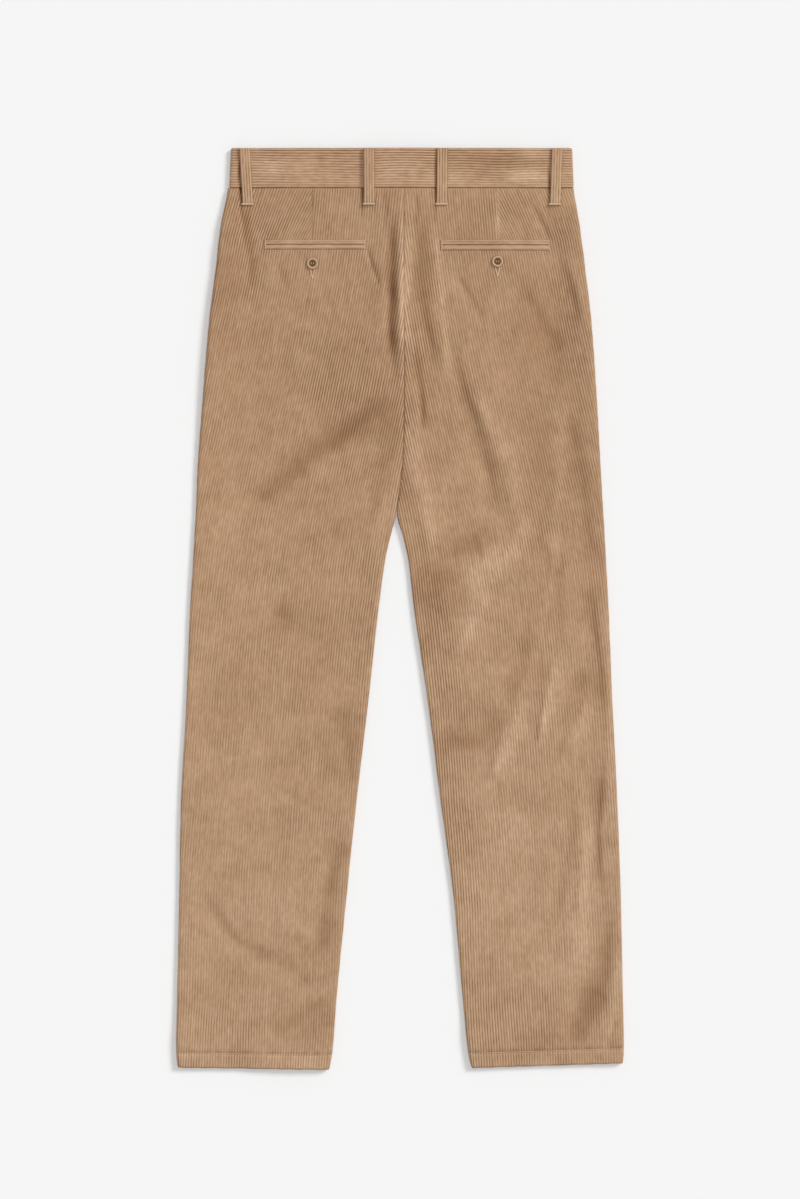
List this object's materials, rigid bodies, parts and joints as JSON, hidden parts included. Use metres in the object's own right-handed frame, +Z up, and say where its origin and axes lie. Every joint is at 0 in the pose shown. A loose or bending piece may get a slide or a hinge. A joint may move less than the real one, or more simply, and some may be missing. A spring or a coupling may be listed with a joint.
{
  "type": "corduroy trousers",
  "caption": "Straight-leg corduroy trousers laid flat with the back up: waistband with belt loops, double-welt back pockets with buttons, turned-up hems.",
  "frame": {"origin": "middle of the garment's outline, on the surface it lies on", "axes": "+Y towards the waist, +X to the wearer's right, +Z up out of the back of the trousers"},
  "size_m": [0.519, 1.0692, 0.0159],
  "materials": {
    "corduroy": "tan wide-wale cotton corduroy with a soft nap",
    "zip_tape": "plain woven tape",
    "button": "tan horn-like resin, satin"
  },
  "bodies": {
    "root": {"back_left": "corduroy", "back_right": "corduroy", "front_left": "corduroy", "front_right": "corduroy", "waistband_back": "corduroy", "waistband_front_left": "corduroy", "waistband_front_right": "corduroy", "belt_loop_side_left": "corduroy", "belt_loop_back_left": "corduroy", "belt_loop_back_right": "corduroy", "belt_loop_side_right": "corduroy", "belt_loop_front_left": "corduroy", "belt_loop_front_right": "corduroy", "pocket_left_upper_welt": "corduroy", "pocket_left_lower_welt": "corduroy", "pocket_right_upper_welt": "corduroy", "pocket_right_lower_welt": "corduroy", "fly_zip": "zip_tape", "pocket_button_left": "button", "pocket_button_right": "button", "waist_button": "button"}
  },
  "joints": []
}
